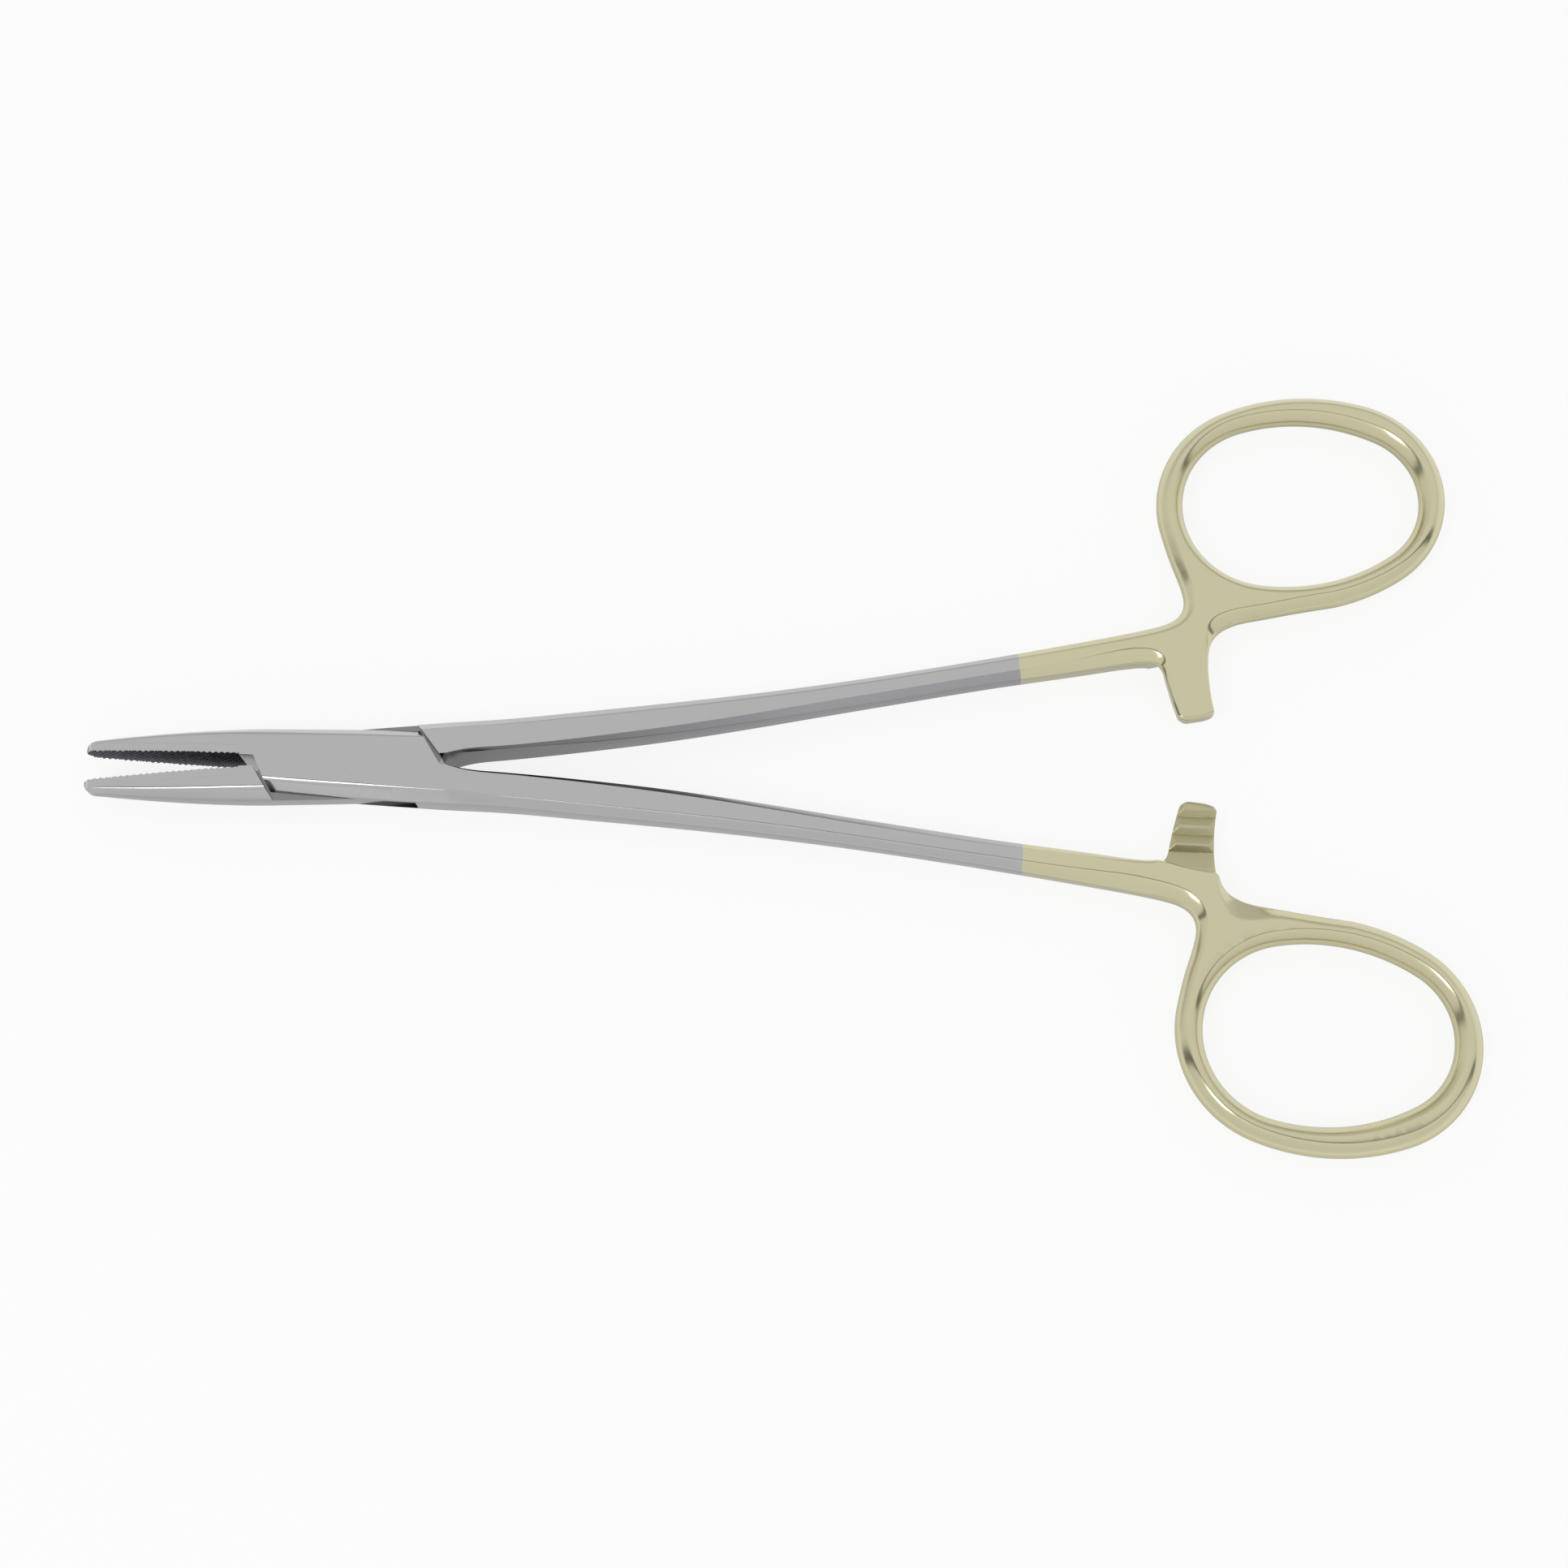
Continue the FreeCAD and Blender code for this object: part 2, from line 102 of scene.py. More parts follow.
def egg(angle, length, front_radius, rear_radius, side_radius, tilt, middle):
    """Points of an egg of four tangent arcs whose outward direction is the given angle.

    Each arc covers a range of directions, so the point is that arc's centre plus its
    radius along the direction. The egg is then tilted and moved to its middle.
    """
    front = front_radius - length / 2
    rear = length / 2 - rear_radius
    spacing = rear - front
    front_reach = side_radius - front_radius
    rear_reach = side_radius - rear_radius
    along = (front_reach ** 2 - rear_reach ** 2) / (2 * spacing)
    across = math.sqrt(front_reach ** 2 - (along + spacing / 2) ** 2)
    hub = (front + rear) / 2 + along
    to_front = math.atan2(across, front - hub)
    to_rear = math.atan2(across, rear - hub)
    local = np.mod(angle - tilt, 2 * np.pi)
    folded = np.where(local > np.pi, 2 * np.pi - local, local)
    is_front = folded > to_front
    is_rear = folded < to_rear
    radius = np.where(is_front, front_radius, np.where(is_rear, rear_radius, side_radius))
    centre_x = np.where(is_front, front, np.where(is_rear, rear, hub))
    centre_y = np.where(is_front | is_rear, 0.0, np.where(local > np.pi, across, -across))
    x = centre_x + radius * np.cos(local)
    y = centre_y + radius * np.sin(local)
    c, s = math.cos(tilt), math.sin(tilt)
    return np.stack([middle[0] + c * x - s * y, middle[1] + s * x + c * y], axis=1)


CORNER_STEPS = 6
WEB_START = 90              # where the shank widens into the web of the ring
FLAT_LEG, WEB_LEG = 0.5, 0.26


def edge_surface(line, inward, low, bevel, band, soft):
    """The forging's side carried along its plan outline.

    The section climbs the wall from low to band, turns a soft corner into the bevel and
    a second soft corner into the flat. Both corners are quadratic curves whose legs are
    as long as soft allows, and the flat's own leg stays short on the narrow band of the ring.
    """
    inner = line + inward * bevel[:, None]
    top = half_height(inner[:, 0])
    flat_leg = np.where(line[:, 0] > WEB_START, WEB_LEG, FLAT_LEG)
    run = np.hypot(bevel, top - band)
    lean = np.stack([bevel / run, (top - band) / run], axis=1)
    leg = np.minimum(soft, 0.45 * run)
    below = np.minimum(leg, 0.9 * (band - low))
    t = np.linspace(0, 1, CORNER_STEPS)[None, :]
    start, middle, end = (1 - t) ** 2, 2 * t * (1 - t), t ** 2
    zero = np.zeros_like(bevel)[:, None]
    into = [zero,
            end * (leg * lean[:, 0])[:, None],
            bevel[:, None] - start * (leg * lean[:, 0])[:, None] + end * np.minimum(leg, flat_leg)[:, None]]
    rise = [low[:, None],
            band[:, None] - start * below[:, None] + end * (leg * lean[:, 1])[:, None],
            top[:, None] - start * (leg * lean[:, 1])[:, None]]
    into = np.concatenate(into, axis=1)
    rise = np.concatenate(rise, axis=1)
    points = line[:, None, :] + inward[:, None, :] * into[:, :, None]
    rise[:, -1] = half_height(points[:, -1, 0])
    return np.concatenate([points, rise[:, :, None]], axis=2)


def inward_of(line):
    """Unit vectors to the left of a closed line that runs with its metal on the left."""
    ahead = np.roll(line, -1, axis=0) - np.roll(line, 1, axis=0)
    ahead /= np.hypot(*ahead.T)[:, None]
    return np.stack([-ahead[:, 1], ahead[:, 0]], axis=1)


def grid_faces(rows, columns, closed):
    """Quads of a grid of rows and columns, which joins up with itself where it is closed."""
    row = np.arange(rows if closed else rows - 1)[:, None]
    column = np.arange(columns - 1)[None, :]
    following = (row + 1) % rows
    quads = np.stack([row * columns + column, following * columns + column,
                      following * columns + column + 1, row * columns + column + 1], axis=2)
    return quads.reshape(-1, 4).tolist()


def flat_faces(outline, hole):
    """Triangles between an outline and the hole in it, over the forging's own height.

    A triangle lies in the hole where a ray from its middle crosses the hole's edge an odd
    number of times, and is then left out.
    """
    points, edges, first = [], [], 0
    for loop in (outline, hole):
        points += [Vector(p) for p in loop[:, :2].tolist()]
        edges += [(first + i, first + (i + 1) % len(loop)) for i in range(len(loop))]
        first += len(loop)
    found, _, faces, *_ = delaunay_2d_cdt(points, edges, [], 1, 1e-7)
    place = np.array([tuple(p) for p in found])
    faces = np.array(faces)
    middle = place[faces].mean(axis=1)
    a, b = hole[:, :2], np.roll(hole[:, :2], -1, axis=0)
    crosses = (a[None, :, 1] > middle[:, None, 1]) != (b[None, :, 1] > middle[:, None, 1])
    steepness = (b[:, 0] - a[:, 0]) / np.where(b[:, 1] == a[:, 1], 1e-12, b[:, 1] - a[:, 1])
    reach = a[None, :, 0] + (middle[:, None, 1] - a[None, :, 1]) * steepness[None, :]
    inside = (crosses & (middle[:, None, 0] < reach)).sum(axis=1) % 2 == 1
    return np.column_stack([place, half_height(place[:, 0])]), faces[~inside].tolist()


WELD = 2e-4                 # points nearer than this, in millimetres, become one


def welded_mesh(name, parts):
    """An object from (points, faces) parts in millimetres: joined, welded, facing outwards."""
    points = np.concatenate([np.reshape(p, (-1, 3)) for p, _ in parts])
    firsts = np.cumsum([0] + [np.size(p) // 3 for p, _ in parts])
    faces = [[i + first for i in face]
             for first, (_, found) in zip(firsts.tolist(), parts) for face in found]
    mesh = bpy.data.meshes.new(name)
    mesh.from_pydata(points.tolist(), [], faces)
    work = bmesh.new()
    work.from_mesh(mesh)
    bmesh.ops.remove_doubles(work, verts=work.verts, dist=WELD)
    bmesh.ops.dissolve_degenerate(work, edges=work.edges, dist=WELD / 20)
    bmesh.ops.recalc_face_normals(work, faces=work.faces)
    work.to_mesh(mesh)
    work.free()
    piece = bpy.data.objects.new(name, mesh)
    bpy.context.scene.collection.objects.link(piece)
    return piece


SHARP = math.radians(32)    # edges steeper than this stay crisp
MILLIMETRE = 0.001          # in the metres of the frame


def turn_to_rest(piece, turn, turned_over):
    """Turns a piece from its half's own frame, in millimetres, to its place at rest, in metres."""
    over = math.pi if turned_over else 0.0
    piece.data.transform(Matrix.Rotation(over, 4, "X"))
    piece.data.transform(Matrix.Rotation(math.radians(turn), 4, "Z"))
    piece.data.transform(Matrix.Translation((0, 0, MID_HEIGHT)))
    piece.data.transform(Matrix.Scale(MILLIMETRE, 4))
    piece.data.shade_smooth()
    piece.data.set_sharp_from_angle(angle=SHARP)
    change = piece.modifiers.new("flats_first", "WEIGHTED_NORMAL")
    change.keep_sharp = True
    change.weight = 100


CIRCLE_SIDES = 96


def circle(radius):
    """The corners of a fine circle about the pivot axis."""
    angle = np.linspace(0, 2 * np.pi, CIRCLE_SIDES, endpoint=False)
    return np.stack([radius * np.cos(angle), radius * np.sin(angle)], axis=1)


def cut_away(piece, outline, low, high):
    """Takes a plate with the given plan outline, between two heights, out of the piece."""
    outline = np.array(outline, float)
    count = len(outline)
    both = np.concatenate([np.column_stack([outline, np.full(count, low)]),
                           np.column_stack([outline, np.full(count, high)])])
    around = [[i, (i + 1) % count, count + (i + 1) % count, count + i] for i in range(count)]
    ends = [list(range(count))[::-1], list(range(count, 2 * count))]
    cutter = welded_mesh("cutter", [(both, around + ends)])
    change = piece.modifiers.new("cut", "BOOLEAN")
    change.operation = "DIFFERENCE"
    change.solver = "EXACT"
    change.object = cutter
    bpy.context.view_layer.update()
    done = piece.evaluated_get(bpy.context.evaluated_depsgraph_get())
    mesh = bpy.data.meshes.new_from_object(done)
    piece.modifiers.clear()
    piece.data = mesh
    bpy.data.objects.remove(cutter)


# Knots of the plan outline, anticlockwise, with the jaws shut: x, y, then bevel and band
# (half the upright wall) on the upper and on the lower side, then the edges' softness.
OUTER_SIDE = [
    (-13.4, -3.63, 1.00, 1.15, 1.00, 1.15, 0.45),
    (-7, -3.95, 1.05, 1.15, 1.05, 1.15, 0.45), (0, -4.18, 1.12, 1.18, 1.12, 1.18, 0.38),
    (7, -4.31, 1.16, 1.30, 1.16, 1.30, 0.14), (11, -4.34, 1.10, 1.40, 1.10, 1.40, 0.08),
    (16, -4.36, 0.95, 1.42, 0.95, 1.42, 0.1), (25, -4.76, 0.94, 1.28, 0.94, 1.28, 0.14),
    (35, -5.28, 0.92, 1.2, 0.92, 1.2, 0.18), (45, -5.90, 0.88, 1.12, 0.88, 1.12, 0.2),
    (55, -6.72, 0.84, 1.0, 0.84, 1.0, 0.2), (65, -7.75, 0.82, 0.93, 0.80, 0.93, 0.2),
    (75, -8.92, 0.95, 0.88, 0.85, 0.9, 0.2), (84, -10.1, 1.25, 0.8, 0.95, 0.85, 0.22),
    (88.8, -10.79, 1.5, 0.7, 1.0, 0.8, 0.28), (91.2, -11.2, 1.5, 0.65, 1.05, 0.75, 0.35),
    (93.5, -11.7, 1.45, 0.6, 1.1, 0.7, 0.45), (95.1, -12.35, 1.35, 0.6, 1.15, 0.65, 0.6),
    (96.1, -13.35, 1.2, 0.6, 1.15, 0.6, 0.7), (96.45, -14.6, 1.15, 0.6, 1.15, 0.6, 0.7),
    (96.3, -16.1, 1.15, 0.55, 1.15, 0.55, 0.7), (95.9, -17.7, 1.1, 0.5, 1.1, 0.5, 0.75),
    (95.35, -19.6, 1.15, 0.5, 1.15, 0.5, 0.8),
]
INNER_WEB = [
    (109.0, -12.46, 1.25, 0.5, 1.1, 0.6, 0.6), (104.5, -11.85, 1.6, 0.45, 1.1, 0.6, 0.5),
    (102.4, -11.5, 2.3, 0.4, 1.2, 0.6, 0.5), (101.0, -11.0, 2.3, 0.4, 1.35, 0.6, 0.5),
    (100.15, -10.5, 1.5, 0.45, 1.35, 0.6, 0.5), (99.5, -9.85, 0.9, 0.6, 1.1, 0.7, 0.4),
    (99.15, -9.3, 0.55, 0.8, 0.8, 0.9, 0.3), (98.93, -8.8, 0.35, 1.0, 0.6, 1.1, 0.25),
]
ARM_BACK = [
    (98.93, -8.8, 0.35, 1.0, 0.6, 1.1, 0.25), (98.7, -8.0, 0.3, 1.0, 0.4, 1.3, 0.2),
    (98.5, -6.9, 0.3, 1, 0.3, 1.4, 0.15),
    (98.37, -5.0, 0.3, 1, 0.28, 1.45, 0.12), (98.38, -3.4, 0.3, 1, 0.28, 1.45, 0.12),
    (98.48, -1.9, 0.3, 1, 0.28, 1.45, 0.12), (98.6, -0.85, 0.3, 1, 0.28, 1.45, 0.12),
    (98.58, -0.45, 0.3, 1, 0.25, 1.45, 0.12), (98.38, -0.17, 0.3, 1, 0.25, 1.45, 0.12),
]
ARM_TIP = [
    (98.38, -0.17, 0.3, 1, 0.25, 1.45, 0.12), (97.9, 0.02, 0.3, 1, 0.25, 1.45, 0.12),
    (96.9, 0.23, 0.3, 1, 0.25, 1.45, 0.12), (96.0, 0.32, 0.3, 1, 0.25, 1.45, 0.12),
    (95.3, 0.34, 0.3, 1, 0.25, 1.45, 0.12), (94.85, 0.2, 0.3, 1, 0.25, 1.45, 0.12),
]
ARM_FRONT = [
    (94.85, 0.2, 0.3, 1, 0.25, 1.45, 0.12), (94.55, -0.05, 0.3, 1, 0.25, 1.45, 0.12),
    (94.36, -0.5, 0.3, 1, 0.28, 1.45, 0.12), (94.05, -1.7, 0.3, 1, 0.28, 1.45, 0.12),
    (93.72, -3.2, 0.3, 1, 0.28, 1.45, 0.12), (93.42, -4.8, 0.3, 1, 0.3, 1.4, 0.15),
    (93.22, -5.85, 0.3, 0.9, 0.5, 1.2, 0.3), (92.95, -6.5, 0.3, 0.9, 0.8, 1.0, 0.4),
    (92.5, -6.9, 0.3, 1.2, 1.1, 0.9, 0.4), (91.9, -7.09, 0.38, 1.15, 1.3, 0.87, 0.37),
]
INNER_SIDE = [
    (91.9, -7.09, 0.38, 1.15, 1.3, 0.87, 0.37), (91.2, -7.14, 0.42, 1.1, 1.4, 0.85, 0.35),
    (90.0, -7.14, 0.47, 1.1, 1.45, 0.8, 0.3),
    (85, -6.72, 0.55, 1.05, 1.2, 0.85, 0.07), (75, -5.75, 0.75, 0.95, 0.85, 0.95, 0.07),
    (65, -4.64, 0.82, 0.95, 0.82, 0.95, 0.06), (55, -3.49, 0.8, 1.05, 0.8, 1.05, 0.06),
    (45, -2.36, 0.7, 1.25, 0.7, 1.25, 0.06), (35, -1.42, 0.6, 1.5, 0.6, 1.5, 0.06),
    (25, -0.82, 0.42, 1.8, 0.42, 1.8, 0.05), (16, -0.50, 0.28, 2.15, 0.28, 2.15, 0.05),
    (12.5, -0.33, 0.2, 2.45, 0.2, 2.45, 0.08), (11.2, -0.2, 0.08, 2.8, 0.08, 2.8, 0.04),
    (10.6, -0.1, 0.05, 2.8, 0.05, 2.8, 0.02),
]
WEB_BEHIND_ARM = [
    (98.93, -8.8, 0.35, 1.0), (98.72, -8.5, 0.25, 1.2), (98.35, -8.36, 0.2, 1.3),
    (97.6, -8.3, 0.15, 1.4), (96.4, -8.17, 0.13, 1.45), (95.2, -7.95, 0.13, 1.45),
    (94.2, -7.72, 0.15, 1.45), (93.2, -7.4, 0.2, 1.35), (92.5, -7.2, 0.3, 1.2),
    (91.9, -7.09, 0.38, 1.15),
]
INSERT_REAR = -13.4
SEAT_DEPTH = 1.1            # of the carbide's step in the jaw, from the closing plane
PIN_RADIUS = 1.6
ROOT_WIDTH, TIP_WIDTH, JAW_CROWN = 3.62, 1.45, 0.21
TIP_CENTRE, TIP_RADIUS = (-30.65, 0.39), 1.3
TIP_EDGE = (0.45, 0.46, 0.45, 0.46, 0.1)    # bevel, band, bevel, band and softness


def jaw_outline():
    """Outer side of the jaw: a straight taper with a low parabolic crown and a round tip."""
    share = np.linspace(0, 0.9, 15)
    x = JAW_ROOT - JAW_LENGTH * share
    y = ROOT_WIDTH + (TIP_WIDTH - ROOT_WIDTH) * share + 4 * JAW_CROWN * share * (1 - share)
    bevel, band = 0.92 - 0.52 * share, 1.15 - 0.7 * share
    knots = np.stack([x, y, bevel, band, bevel, band, 0.45 - 0.2 * share], axis=1).tolist()
    angle = np.radians([75, 60, 48])
    tip = [(TIP_CENTRE[0] - TIP_RADIUS * math.cos(a), TIP_CENTRE[1] + TIP_RADIUS * math.sin(a))
           for a in angle]
    tip = [place + TIP_EDGE for place in tip + [(-31.739, SEAT_DEPTH)]]
    box = [(10.6, 4.34, 0.05, 2.5, 0.05, 2.5, 0.02), (10.2, 4.335, 0.55, 1.9, 0.55, 1.9, 0.1),
           (9.7, 4.33, 1.0, 1.45, 1.0, 1.45, 0.15), (9.0, 4.33, 1.14, 1.33, 1.14, 1.33, 0.15),
           (7, 4.31, 1.16, 1.30, 1.16, 1.30, 0.2),
           (0, 4.18, 1.12, 1.18, 1.12, 1.18, 0.3), (-7, 3.95, 1.05, 1.15, 1.05, 1.15, 0.42)]
    line = curve_through(box + knots + tip, 0.15)
    # near the tip the soft corners stay within the room between the bevel and the carbide
    room = line[:, 1] - SEAT_DEPTH - line[:, 2]
    limit = np.where(line[:, 0] < -25, np.clip(0.8 * room - 0.02, 0.02, None), line[:, 6])
    line[:, 6] = np.minimum(line[:, 6], limit)
    return line


# The saw-tooth along the arm: where it bends, down from the middle line, and its height there.
TOOTH_BREAKS = [-1, 0.65, 1.28, 2.5, 2.8, 3.45, 4.67, 4.9, 5.55, 7.5, 9]
TOOTH_LEVELS = [-0.05, -0.05, -0.65, -0.07, -0.07, -0.65, -0.07, -0.07, -0.65, -0.07, -0.05]
CREST = -0.05               # just under the middle plane, so that the other arm passes
RIM_DROP, RIM_WIDTH = 0.45, 0.55
FRONT_DROP, FRONT_WIDTH = 0.3, 0.45


def teeth_height(y, side_distance, tip_distance):
    """Height of the toothed face: the lower of the saw-tooth and the bevel round the arm.

    The bevel falls straight from its width to the edge, less steeply at the arm's tip.
    """
    tooth = np.interp(-y, TOOTH_BREAKS, TOOTH_LEVELS)
    rim = CREST - RIM_DROP * np.clip(1 - side_distance / RIM_WIDTH, 0, 1)
    front = CREST - FRONT_DROP * np.clip(1 - tip_distance / FRONT_WIDTH, 0, 1)
    return np.minimum(tooth, np.minimum(rim, front))


def arm_rows(line):
    """A side of the arm, from its root to its tip, at the rows that both sides share.

    Between the two levels the rows follow y, so that a tooth's edge is one straight row.
    Below and above them they divide the line evenly.
    """
    low, high = -6.6, -0.6
    levels = np.concatenate([np.arange(low, high - 0.04, 0.08), -np.array(TOOTH_BREAKS[1:-2])])
    at = np.arange(len(line))
    first, last = np.interp([low, high], line[:, 1], at)
    places = np.concatenate([np.linspace(0, first, 16)[:-1],
                             np.interp(np.unique(levels.round(4)), line[:, 1], at),
                             np.linspace(last, at[-1], 6)])
    return np.stack([np.interp(places, at, column) for column in line.T], axis=1)


NOSE_FRONT, NOSE_BLEND = -30.9, 0.45


def side_surface(line, low, bevel, band, soft):
    """The edge surface of a whole outline, whose bevel at the jaw's nose runs straight back.

    There the inward direction blends from the outline's own to +x, in step with the height
    above the carbide's seat.
    """
    inward = inward_of(line)
    nose = (line[:, 0] < NOSE_FRONT) & (line[:, 1] > 0)
    share = np.clip(1 - (line[:, 1] - SEAT_DEPTH) / NOSE_BLEND, 0, 1)
    share = np.where(nose, share, 0)[:, None]
    inward = (1 - share) * inward + share * np.array([[1.0, 0.0]])
    return edge_surface(line, inward / np.hypot(*inward.T)[:, None], low, bevel, band, soft)


RING_MIDDLE = (111.1, -26.05)
RING_BEVEL, RING_BAND, RING_SOFT = 1.15, 0.5, 0.8
RING_POINTS, OPENING_POINTS = 260, 240
OPENING_BEVEL = 1.1
SQUARE_EDGE = (0.004, 9, 0.004, 9, 0.0015)      # no bevel, on the step that the carbide hides
ARM_SOFT = 0.12
FADE = 8                    # points over which the arm's lower edge runs out on either side


def forging(name):
    """One whole forging before its box is cut: side surfaces, flats and toothed face.

    The outline runs from the shank's inner side round the jaw, the back and the ring to the
    web, and closes behind the arm on the upper side and round the arm on the lower one.
    """
    outline_angle = np.radians(np.linspace(171, 360 + 80, RING_POINTS))
    band_line = egg(outline_angle, length=33.676, front_radius=13.088, rear_radius=12.288,
                    side_radius=24.488, tilt=math.radians(-4.6),
                    middle=(RING_MIDDLE[0], RING_MIDDLE[1] - 0.15))
    ring_edge = (RING_BEVEL, RING_BAND, RING_BEVEL, RING_BAND, RING_SOFT)
    ring_part = np.column_stack([band_line, np.tile(ring_edge, (RING_POINTS, 1))])
    outer = curve_through(OUTER_SIDE + [tuple(ring_part[0])], 0.3)[:-1]
    web = curve_through([tuple(ring_part[-1])] + INNER_WEB, 0.2)[1:]
    tip = curve_through(ARM_TIP, 0.085)
    back = arm_rows(curve_through(ARM_BACK, 0.03))
    front = arm_rows(curve_through(ARM_FRONT, 0.03)[::-1])[::-1]
    behind = curve_through(WEB_BEHIND_ARM, 0.1)
    behind = np.stack([np.interp(np.linspace(0, 1, len(tip)), np.linspace(0, 1, len(behind)), c)
                       for c in behind.T], axis=1)
    inner = curve_through(INNER_SIDE, 0.3)[1:]
    seat = np.column_stack([np.linspace(-31.25, INSERT_REAR - 0.05, 60), np.full(60, SEAT_DEPTH)])
    behind_insert = np.column_stack([np.full(16, INSERT_REAR), np.linspace(SEAT_DEPTH, -3.58, 16)])
    hidden = np.concatenate([seat, behind_insert])
    hidden = np.column_stack([hidden, np.tile(SQUARE_EDGE, (len(hidden), 1))])
    shared = np.concatenate([inner, jaw_outline(), hidden, outer, ring_part, web])

    # the toothed face is a grid between the arm's sides, bent to its root and its tip
    u = np.linspace(0, 1, len(tip))[None, :, None]
    v = np.linspace(0, 1, len(back))[:, None, None]
    straight = (1 - u) * back[:, None, :2] + u * front[::-1][:, None, :2]
    patch = (straight + (1 - v) ** 8 * (behind[None, :, :2] - straight[:1])
             + v ** 8 * (tip[None, :, :2] - straight[-1:]))
    width = np.hypot(*(patch[:, -1] - patch[:, 0]).T)[:, None]
    sideways = np.minimum(u[:, :, 0], 1 - u[:, :, 0]) * width
    to_tip = np.hypot(*np.moveaxis(patch - patch[-1:], 2, 0))
    height = teeth_height(patch[:, :, 1], sideways, to_tip)
    face = np.concatenate([patch, height[:, :, None]], axis=2)

    # both side surfaces start at the middle plane, or at the toothed face where it is lower
    plain = np.zeros(len(shared) - FADE)
    low = (height[0, 0] * np.concatenate([plain, np.linspace(0, 1, FADE)])
           + height[0, -1] * np.concatenate([np.linspace(1, 0, FADE + 1)[1:], plain]))
    upper_line = np.concatenate([shared[:, :4], behind[1:, :4]])
    upper_low = np.concatenate([low, height[0, 1:]])
    upper_band = np.minimum(upper_line[:, 3], half_height(upper_line[:, 0]) - 0.04)
    upper_soft = np.concatenate([shared[:, 6], np.full(len(behind) - 1, ARM_SOFT)])
    upper = side_surface(upper_line[:, :2], upper_low, upper_line[:, 2], upper_band, upper_soft)
    lower_line = np.concatenate([shared, back[1:], tip[1:], front[1:]])
    lower_low = -np.concatenate([low, height[1:, 0], height[-1, 1:], height[::-1][1:, -1]])
    lower_band = np.minimum(lower_line[:, 5], half_height(lower_line[:, 0]) - 0.04)
    lower = side_surface(lower_line[:, :2], lower_low, lower_line[:, 4], lower_band, lower_line[:, 6])

    opening_angle = np.linspace(0, 2 * np.pi, OPENING_POINTS, endpoint=False)
    opening_line = egg(opening_angle, length=27.5, front_radius=10.0, rear_radius=8.5,
                       side_radius=21.4, tilt=math.radians(-1.0), middle=RING_MIDDLE)
    opening_inward = np.stack([np.cos(opening_angle), np.sin(opening_angle)], axis=1)
    opening_edge = [[0.0], [OPENING_BEVEL], [RING_BAND], [RING_SOFT]]
    hole = edge_surface(opening_line, opening_inward, *np.repeat(opening_edge, OPENING_POINTS, axis=1))
    down = np.array([1.0, 1.0, -1.0])
    upper_flat, upper_faces = flat_faces(upper[:, -1], hole[:, -1])
    lower_flat, lower_faces = flat_faces(lower[:, -1], hole[:, -1])
    parts = [(upper, grid_faces(*upper.shape[:2], True)),
             (lower * down, grid_faces(*lower.shape[:2], True)),
             (hole, grid_faces(*hole.shape[:2], True)),
             (hole * down, grid_faces(*hole.shape[:2], True)),
             (upper_flat, upper_faces), (lower_flat * down, lower_faces),
             (face, grid_faces(*face.shape[:2], False))]
    return welded_mesh(name, parts)


def colour(code):
    """Linear red, green and blue of an sRGB hex colour."""
    value = np.array([int(code[i:i + 2], 16) for i in (0, 2, 4)]) / 255
    linear = np.where(value <= 0.04045, value / 12.92, ((value + 0.055) / 1.055) ** 2.4)
    return tuple(linear.tolist()) + (1.0,)


def add_node(tree, kind, settings={}, values={}, links={}):
    """Adds a node, sets its properties and input values, and links its inputs."""
    node = tree.nodes.new(kind)
    for key, value in settings.items():
        setattr(node, key, value)
    for key, value in values.items():
        node.inputs[key].default_value = value
    for key, source in links.items():
        tree.links.new(source, node.inputs[key])
    return node


CLOUDS = 260.0              # per metre: soft patches of about 4 mm, left by the polishing mop
WHEEL_MARKS = 700.0         # per metre, and then drawn out along the piece
WHEEL_STRETCH = (0.6, 12.0, 12.0)
HAND_WAVES = 420.0          # per metre: shallow waves of 2.4 mm, left by grinding by hand


